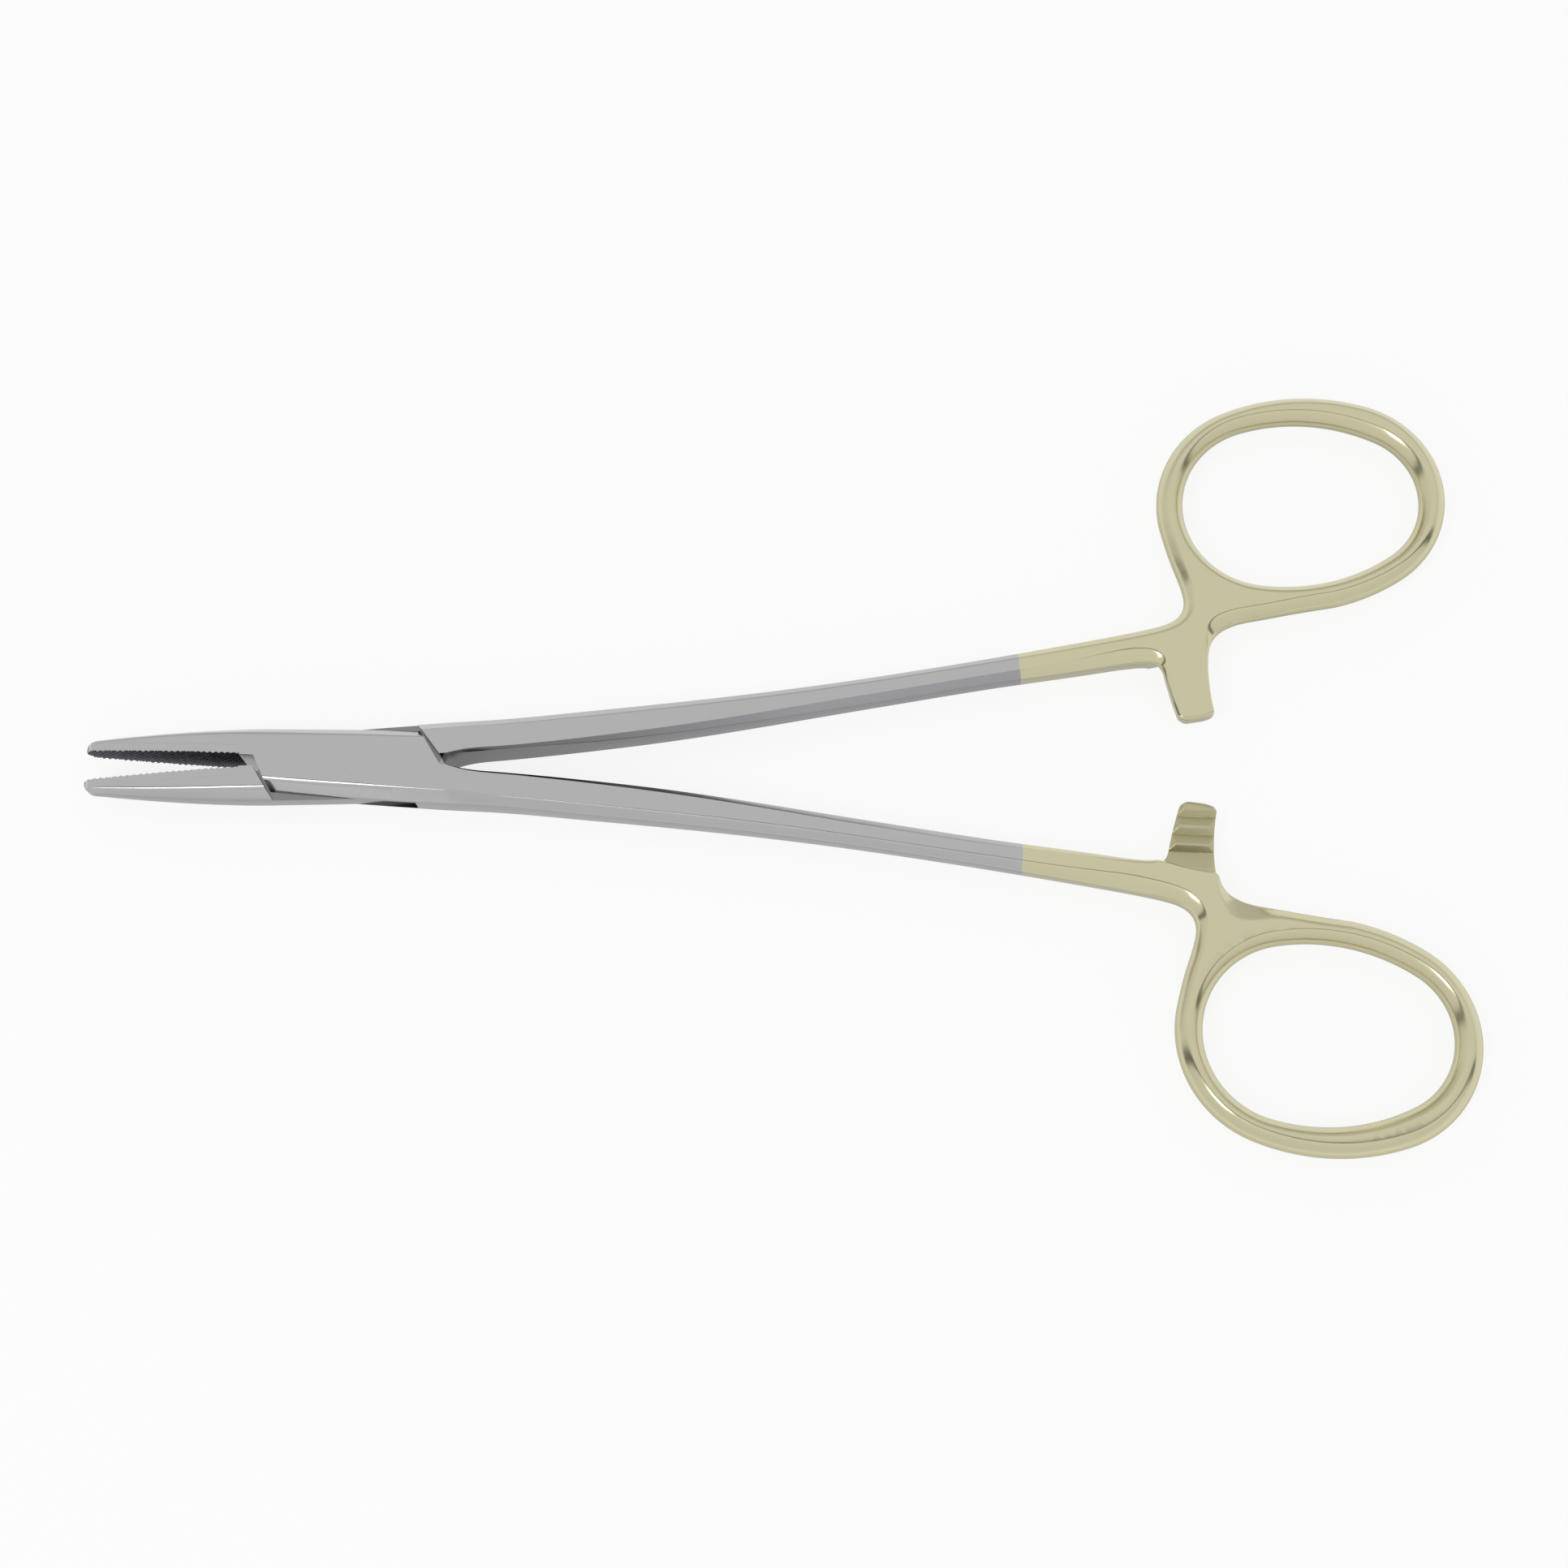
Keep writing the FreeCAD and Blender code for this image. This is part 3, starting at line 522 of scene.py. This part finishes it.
def polished_metal(name, turn, front="BCBBBC", rear="BCBBBC", change=(0.0, 1.0)):
    """Polished metal in the piece's own Object coordinates, turned so that X runs along it.

    Its colour changes from front to rear between the two distances behind the pin, in
    metres. Faces that stand upright get painted shade: their colour is multiplied by a grey.
    """
    material = bpy.data.materials.new(name)
    material.use_nodes = True
    tree = material.node_tree
    shader = tree.nodes["Principled BSDF"]
    shader.inputs["Metallic"].default_value = 1.0
    place = add_node(tree, "ShaderNodeTexCoord")
    turned = add_node(tree, "ShaderNodeMapping", {"vector_type": "TEXTURE"},
                      {"Rotation": (0, 0, math.radians(turn))}, {"Vector": place.outputs["Object"]})

    # the clouds change the gloss
    clouds = add_node(tree, "ShaderNodeTexNoise", {},
                      {"Scale": CLOUDS, "Detail": 4.0, "Roughness": 0.6},
                      {"Vector": turned.outputs["Vector"]})
    gloss = add_node(tree, "ShaderNodeMapRange", {},
                     {"From Min": 0.3, "From Max": 0.7, "To Min": 0.13, "To Max": 0.24},
                     {"Value": clouds.outputs["Fac"]})
    tree.links.new(gloss.outputs["Result"], shader.inputs["Roughness"])

    # wheel marks 2.4 mm long and 0.12 mm apart: the real ones are far finer, and wouldn't show
    lines = add_node(tree, "ShaderNodeMapping", {}, {"Scale": WHEEL_STRETCH},
                     {"Vector": turned.outputs["Vector"]})
    wheel = add_node(tree, "ShaderNodeTexNoise", {}, {"Scale": WHEEL_MARKS, "Detail": 3.0},
                     {"Vector": lines.outputs["Vector"]})
    hand = add_node(tree, "ShaderNodeTexNoise", {},
                    {"Scale": HAND_WAVES, "Detail": 2.0, "Roughness": 0.5},
                    {"Vector": turned.outputs["Vector"]})
    waves = add_node(tree, "ShaderNodeBump", {}, {"Strength": 0.12, "Distance": 0.00008},
                     {"Height": hand.outputs["Fac"]})
    bump = add_node(tree, "ShaderNodeBump", {}, {"Strength": 0.06, "Distance": 0.00002},
                    {"Height": wheel.outputs["Fac"], "Normal": waves.outputs["Normal"]})
    tree.links.new(bump.outputs["Normal"], shader.inputs["Normal"])

    # the colour along the piece, multiplied by a grey on the upright faces: painted shade that darkens them
    along = add_node(tree, "ShaderNodeSeparateXYZ", {}, {}, {"Vector": turned.outputs["Vector"]})
    share = add_node(tree, "ShaderNodeMapRange", {},
                     {"From Min": change[0], "From Max": change[1], "To Min": 0.0, "To Max": 1.0},
                     {"Value": along.outputs["X"]})
    tint = add_node(tree, "ShaderNodeMix", {"data_type": "RGBA"},
                    {6: colour(front), 7: colour(rear)}, {0: share.outputs["Result"]})
    facing = add_node(tree, "ShaderNodeSeparateXYZ", {}, {}, {"Vector": place.outputs["Normal"]})
    level = add_node(tree, "ShaderNodeMath", {"operation": "ABSOLUTE"}, {}, {0: facing.outputs["Z"]})
    upright = add_node(tree, "ShaderNodeMapRange", {},
                       {"From Min": 0.05, "From Max": 0.62, "To Min": 1.0, "To Max": 0.0},
                       {"Value": level.outputs["Value"]})
    painted_wall_shade = add_node(tree, "ShaderNodeMix", {"data_type": "RGBA", "blend_type": "MULTIPLY"},
                      {7: colour("C4C4C4")}, {0: upright.outputs["Result"], 6: tint.outputs[2]})
    tree.links.new(painted_wall_shade.outputs[2], shader.inputs["Base Color"])
    return material


def matt_metal(name, code, roughness):
    """A metal that was cut and not polished, with one colour and a wide gloss."""
    material = bpy.data.materials.new(name)
    material.use_nodes = True
    shader = material.node_tree.nodes["Principled BSDF"]
    shader.inputs["Base Color"].default_value = colour(code)
    shader.inputs["Metallic"].default_value = 1.0
    shader.inputs["Roughness"].default_value = roughness
    return material


def pick_faces(piece, material, chosen):
    """Gives the material to the faces that pass the test on their middles, in mm, and normals."""
    mesh = piece.data
    mesh.materials.append(material)
    normals = np.zeros(len(mesh.polygons) * 3)
    mesh.polygons.foreach_get("normal", normals)
    middles = np.zeros(len(mesh.polygons) * 3)
    mesh.polygons.foreach_get("center", middles)
    index = np.zeros(len(mesh.polygons), np.int32)
    mesh.polygons.foreach_get("material_index", index)
    middles = middles.reshape(-1, 3) / MILLIMETRE - np.array([0, 0, MID_HEIGHT])
    index[chosen(middles, normals.reshape(-1, 3))] = len(mesh.materials) - 1
    mesh.polygons.foreach_set("material_index", index)


SLOT_HALF, TONGUE_HALF = 1.01, 0.97     # half their heights, with the running clearance
LOCK_END, ARM_START = 12, 85


def in_the_lock(middles, normals):
    """The milled faces of the slot or of the tongue, which lie about 1 mm off the middle plane."""
    level = (np.abs(middles[:, 2]) < SLOT_HALF + 0.01) & (np.abs(normals[:, 2]) > 0.9)
    return level & (middles[:, 0] < LOCK_END)


def on_the_teeth(middles, normals):
    """The toothed face of the ratchet arm, which lies just off the middle plane."""
    near = (np.abs(middles[:, 2]) < 0.72) & (np.abs(normals[:, 2]) > 0.3)
    return near & (middles[:, 0] > ARM_START)


def on_the_shoulder(middles, normals):
    """The slanted face at which the tongue's shank meets the rear of the box."""
    across = (normals[:, 0] < -0.5) & (np.abs(normals[:, 2]) < 0.5)
    return across & (middles[:, 0] > 3) & (middles[:, 0] < LOCK_END)


def between_the_shanks(middles, normals):
    """The side of the tongue's shank that faces the other one, from the box to the plating."""
    return (normals[:, 1] < -0.3) & (middles[:, 0] > 9.5) & (middles[:, 0] < 76.6)


GOLD = "D2CDAB"
PLATING = (0.07675, 0.07690)    # metres behind the pin where the gold plating begins
# stainless steel with painted shade on the side that faces the other shank, which makes it a dark
# grey there, and darkest in the corner at the box, where shade falls between the parts
painted_shade_steel = polished_metal("steel_with_painted_shade_in_the_gaps", 0, "67676A", "A6A6AA", (0.012, 0.052))
# thin gold plating on teeth that the cutter left matt, so they are plain and without glints; its gold
# is a little darker than the plating's, as painted shade on the toothed face
teeth_metal = matt_metal("gold_plating_on_the_ratchet_teeth", "C3BE9A", 0.36)

# Plan outlines of what is milled away, in each half's own frame.
FAR = 8                     # beyond any side of the box
BOX_FRONT = [(-20, -FAR), (-20, 0.03), (-11.716, 0.03), (-7.38, -FAR)]
BOX_REAR = [(10.02, -0.18), (4.46, FAR), (20, FAR), (20, -0.18)]
SLOT = [(-11.7, 0), (-2.75, FAR), (9.9, FAR), (9.9, 0), (5.04, -FAR), (-11.7, -FAR)]
TONGUE_FRONT = [(-20, -FAR), (-20, 0.03), (-11.58, 0.03), (-2.6, -FAR)]
TONGUE_REAR = [(9.86, -0.18), (4.9, FAR), (20, FAR), (20, -0.18)]
OVER_TONGUE = [(-20, -FAR), (-20, 0.03), (-11.784, 0.03), (-7.48, FAR),
               (20, FAR), (20, -0.18), (9.88, -0.18), (4.56, -FAR)]
PIN_FIT, PIN_PLAY = 0.002, 0.03

box_half = forging("box_half_forging")
cut_away(box_half, BOX_FRONT, -FAR, FAR)
cut_away(box_half, BOX_REAR, -FAR, FAR)
cut_away(box_half, SLOT, -SLOT_HALF, SLOT_HALF)
cut_away(box_half, circle(PIN_RADIUS + PIN_FIT), -FAR, FAR)
turn_to_rest(box_half, -HALF_TURN, False)
box_half.data.materials.clear()
# mirror-polished stainless steel, pale grey, with gold plating on the handle
box_half.data.materials.append(polished_metal(
    "polished_steel_with_gold_plated_handle_box_side", -HALF_TURN, rear=GOLD, change=PLATING))
# stainless steel as the cutter left it, with painted shade: dark because it lies inside the slot
pick_faces(box_half, polished_metal("milled_steel_with_painted_shade_in_the_lock", 0, "5C5C60", "5C5C60"),
           in_the_lock)
pick_faces(box_half, teeth_metal, on_the_teeth)
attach(box_half, "box_side")
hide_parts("box_half")

tongue_half = forging("tongue_half_forging")
cut_away(tongue_half, TONGUE_FRONT, -FAR, FAR)
cut_away(tongue_half, TONGUE_REAR, -FAR, FAR)
cut_away(tongue_half, OVER_TONGUE, TONGUE_HALF, FAR)
cut_away(tongue_half, OVER_TONGUE, -FAR, -TONGUE_HALF)
cut_away(tongue_half, circle(PIN_RADIUS + PIN_PLAY), -FAR, FAR)
turn_to_rest(tongue_half, HALF_TURN, True)
tongue_half.data.materials.clear()
# the same steel and plating, whose patterns run along this half
tongue_half.data.materials.append(polished_metal(
    "polished_steel_with_gold_plated_handle_tongue_side", HALF_TURN, rear=GOLD, change=PLATING))
# stainless steel, ground flat on the two faces of the tongue, and darker there with painted shade under the
# cheeks
pick_faces(tongue_half, polished_metal("ground_steel_of_the_tongue_with_painted_shade", 0, "8C8B8E", "8C8B8E"),
           in_the_lock)
# painted shade, dark grey, on the side between the shanks and on the shoulder behind the box
pick_faces(tongue_half, painted_shade_steel, between_the_shanks)
pick_faces(tongue_half, painted_shade_steel, on_the_shoulder)
pick_faces(tongue_half, teeth_metal, on_the_teeth)
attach(tongue_half, "tongue_side")
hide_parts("tongue_half")


# The carbide inserts
# Strips of sintered tungsten carbide, brazed into a step in each jaw and ground flush with
# it. Two crossing sets of fine grooves cover the gripping face, whose dark grey is partly the matt
# carbide and partly painted shade of the grooves.

GRIP_GAP = 0.03             # from the closing plane to the crests
SERRATION_PITCH, SERRATION_DEPTH = 0.70, 0.19
TIP_END = -31.948
NOSE_START, NOSE_RUN, NOSE_DROP = -31.289, 0.52, 0.64
INSERT_ROUNDING = 0.004


def insert_mesh(name):
    """A strip of cross-sections from the box to the tip, with pyramids on its gripping face.

    The face lies at the gap plus the depth times the higher of two triangle waves, one of
    x + z and one of x - z. The other three sides are straight, and the tip follows an arc.
    """
    x = np.concatenate([np.linspace(INSERT_REAR, -31.72, 300), np.linspace(-31.75, TIP_END, 9)])
    across = np.linspace(-1, 1, 81)
    high = half_height(x) - NOSE_DROP * np.clip((NOSE_START - x) / NOSE_RUN, 0, 1)
    before_tip = np.minimum(x - TIP_CENTRE[0], 0)
    seat = np.minimum(SEAT_DEPTH, TIP_CENTRE[1] + np.sqrt(TIP_RADIUS ** 2 - before_tip ** 2))
    z = high[:, None] * across[None, :]
    first = np.abs(2 * np.mod((x[:, None] + z) / SERRATION_PITCH, 1) - 1)
    second = np.abs(2 * np.mod((x[:, None] - z) / SERRATION_PITCH, 1) - 1)
    y = GRIP_GAP + SERRATION_DEPTH * np.maximum(first, second)
    grip = np.stack([np.broadcast_to(x[:, None], z.shape), y, z], axis=2)
    soft = INSERT_ROUNDING
    back_y = np.stack([seat - soft, seat, seat, seat - soft, y[:, 0]], axis=1)
    back_z = np.stack([high, high - soft, soft - high, -high, -high], axis=1)
    back = np.stack([np.broadcast_to(x[:, None], back_y.shape), back_y, back_z], axis=2)
    rings = np.concatenate([grip, back], axis=1)
    count = rings.shape[1]
    ends = [list(range(count)), list(range((len(x) - 1) * count, len(x) * count))[::-1]]
    return welded_mesh(name, [(rings, grid_faces(*rings.shape[:2], False) + ends)])


def gripping(turn):
    """A test for the grooved faces of the insert that stands at the given turn."""
    c, s = math.cos(math.radians(turn)), math.sin(math.radians(turn))

    def test(middles, normals):
        near = np.abs(c * middles[:, 1] - s * middles[:, 0]) < GRIP_GAP + SERRATION_DEPTH + 0.08
        return near & (np.abs(normals[:, 1]) > 0.15)
    return test


# sintered tungsten carbide, ground flush with the jaw and as pale as its steel
carbide = polished_metal("ground_tungsten_carbide", 0)
# the same carbide where it is grooved and left matt, dark grey: partly the matt carbide, partly painted
# shade of the grooves
serrated = matt_metal("serrated_tungsten_carbide", "5E5E65", 0.45)

upper_insert = insert_mesh("upper_insert")
turn_to_rest(upper_insert, -HALF_TURN, False)
upper_insert.data.materials.append(carbide)
pick_faces(upper_insert, serrated, gripping(-HALF_TURN))
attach(upper_insert, "box_side")
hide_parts("upper_jaw_insert")
lower_insert = insert_mesh("lower_insert")
turn_to_rest(lower_insert, HALF_TURN, True)
lower_insert.data.materials.append(carbide)
pick_faces(lower_insert, serrated, gripping(HALF_TURN))
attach(lower_insert, "tongue_side")
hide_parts("lower_jaw_insert")


# The pivot pin
# A stainless pin, riveted into both cheeks and then ground and polished flush with them,
# so that only a hairline shows round it.

PIN_RIM = 0.003             # bevel of the pin's two rims


def pin_mesh(name):
    """A profile turned round the axis: both ends flat to the rim, and the side between them."""
    inner, rim = PIN_RADIUS / 2, PIN_RADIUS - PIN_RIM
    radii = np.array([0.0, inner, rim, PIN_RADIUS, PIN_RADIUS, rim, inner, 0.0])
    side = MID_HEIGHT - PIN_RIM
    z = np.array([MID_HEIGHT] * 3 + [side, -side] + [-MID_HEIGHT] * 3)
    angle = np.linspace(0, 2 * np.pi, CIRCLE_SIDES, endpoint=False)
    x = np.cos(angle)[:, None] * radii[None, :]
    y = np.sin(angle)[:, None] * radii[None, :]
    points = np.stack([x, y, np.broadcast_to(z, x.shape)], axis=2)
    return welded_mesh(name, [(points, grid_faces(*points.shape[:2], True))])


pin = pin_mesh("riveted_pin")
turn_to_rest(pin, -HALF_TURN, False)
# the same stainless steel, polished together with the cheeks and as bright
pin.data.materials.append(polished_metal("polished_pin_steel", -HALF_TURN))
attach(pin, "box_side")
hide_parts("pivot_pin")


# Floor, light and camera
# The instrument lies on white paper in a pale room. One small lamp beyond the jaws gives
# the sharp highlights, and a dark strip overhead the dark lines in the soft corners.

FLOOR_REACH, FLOOR_HEIGHT = 2, -0.0002
floor_mesh = bpy.data.meshes.new("floor")
floor_mesh.from_pydata([(x * FLOOR_REACH, y * FLOOR_REACH, FLOOR_HEIGHT)
                        for x, y in ((-1, -1), (1, -1), (1, 1), (-1, 1))], [], [(0, 1, 2, 3)])
floor = bpy.data.objects.new("floor", floor_mesh)
bpy.context.scene.collection.objects.link(floor)
# white paper, which the photograph shows without a shade, so most of what is seen of it glows
floor_white = bpy.data.materials.new("white_paper")
floor_white.use_nodes = True
tree = floor_white.node_tree
tree.nodes["Principled BSDF"].inputs["Base Color"].default_value = colour("FAFAFA")
tree.nodes["Principled BSDF"].inputs["Specular IOR Level"].default_value = 0.1
GLOW_SHARE = 0.85
path = add_node(tree, "ShaderNodeLightPath")
seen = add_node(tree, "ShaderNodeMath", {"operation": "MAXIMUM"}, {},
                {0: path.outputs["Is Camera Ray"], 1: path.outputs["Is Glossy Ray"]})
seen = add_node(tree, "ShaderNodeMath", {"operation": "MAXIMUM"}, {},
                {0: seen.outputs["Value"], 1: path.outputs["Is Transmission Ray"]})
share = add_node(tree, "ShaderNodeMath", {"operation": "MULTIPLY"}, {1: GLOW_SHARE},
                 {0: seen.outputs["Value"]})
white = add_node(tree, "ShaderNodeEmission", {}, {"Color": (1, 1, 1, 1), "Strength": 1.0})
paper = add_node(tree, "ShaderNodeMixShader", {}, {},
                 {0: share.outputs["Value"], 1: tree.nodes["Principled BSDF"].outputs["BSDF"],
                  2: white.outputs["Emission"]})
tree.links.new(paper.outputs["Shader"], tree.nodes["Material Output"].inputs["Surface"])
floor_mesh.materials.append(floor_white)

# the room brightens upwards, and dims towards the far side
world = bpy.data.worlds.new("studio")
bpy.context.scene.world = world
world.use_nodes = True
tree = world.node_tree
place = add_node(tree, "ShaderNodeTexCoord")
direction = add_node(tree, "ShaderNodeSeparateXYZ", {}, {}, {"Vector": place.outputs["Generated"]})
high = add_node(tree, "ShaderNodeMapRange", {},
                {"From Min": 0.1, "From Max": 0.8, "To Min": 0.8, "To Max": 0.88},
                {"Value": direction.outputs["Z"]})
far = add_node(tree, "ShaderNodeMapRange", {},
               {"From Min": 0.5, "From Max": 0.9, "To Min": 1.0, "To Max": 0.8},
               {"Value": direction.outputs["Y"]})
room = add_node(tree, "ShaderNodeMath", {"operation": "MULTIPLY"}, {},
                {0: high.outputs["Result"], 1: far.outputs["Result"]})
# the dark strip runs along the instrument, a little to the near side of straight overhead
STRIP_PLACE, STRIP_CORE, STRIP_EDGE = 0.06, 0.06, 0.12
offset = add_node(tree, "ShaderNodeMath", {"operation": "ADD"}, {1: STRIP_PLACE},
                  {0: direction.outputs["Y"]})
offset = add_node(tree, "ShaderNodeMath", {"operation": "ABSOLUTE"}, {}, {0: offset.outputs["Value"]})
strip = add_node(tree, "ShaderNodeMapRange", {},
                 {"From Min": STRIP_CORE, "From Max": STRIP_EDGE, "To Min": 0.2, "To Max": 1.0},
                 {"Value": offset.outputs["Value"]})
room = add_node(tree, "ShaderNodeMath", {"operation": "MULTIPLY"}, {},
                {0: room.outputs["Value"], 1: strip.outputs["Result"]})
tree.links.new(room.outputs["Value"], tree.nodes["Background"].inputs["Strength"])
tree.nodes["Background"].inputs["Color"].default_value = (1, 1, 1, 1)

lamp_data = bpy.data.lights.new("soft_light", "AREA")
lamp_data.shape = "RECTANGLE"
lamp_data.size, lamp_data.size_y = 0.2, 0.5
lamp_data.energy = 1.0
lamp = bpy.data.objects.new("soft_light", lamp_data)
lamp.location = (-0.33, -0.34, 0.72)
LAMP_AIM = Vector((0.05, 0, 0))
lamp.rotation_euler = (LAMP_AIM - lamp.location).to_track_quat("-Z", "Y").to_euler()
bpy.context.scene.collection.objects.link(lamp)

AIM = Vector((0.04931, -0.00232, 0.0029))
AZIMUTH, ELEVATION, ROLL = math.radians(9), math.radians(72), math.radians(-8.85)
DISTANCE = 0.307
back = Vector((math.sin(AZIMUTH) * math.cos(ELEVATION),
               -math.cos(AZIMUTH) * math.cos(ELEVATION), math.sin(ELEVATION)))
right = Vector((math.cos(AZIMUTH), math.sin(AZIMUTH), 0))
up = back.cross(right)
turned_right = right * math.cos(ROLL) + up * math.sin(ROLL)
turned_up = back.cross(turned_right)
camera_data = bpy.data.cameras.new("camera")
camera_data.sensor_width = 36
camera_data.lens = 61.53
camera_data.clip_start, camera_data.clip_end = 0.01, 10
camera = bpy.data.objects.new("camera", camera_data)
stand = Matrix.Translation(AIM + back * DISTANCE)
camera.matrix_world = stand @ Matrix((turned_right, turned_up, back)).transposed().to_4x4()
bpy.context.scene.collection.objects.link(camera)
bpy.context.scene.camera = camera
bpy.context.scene.view_settings.view_transform = "Standard"
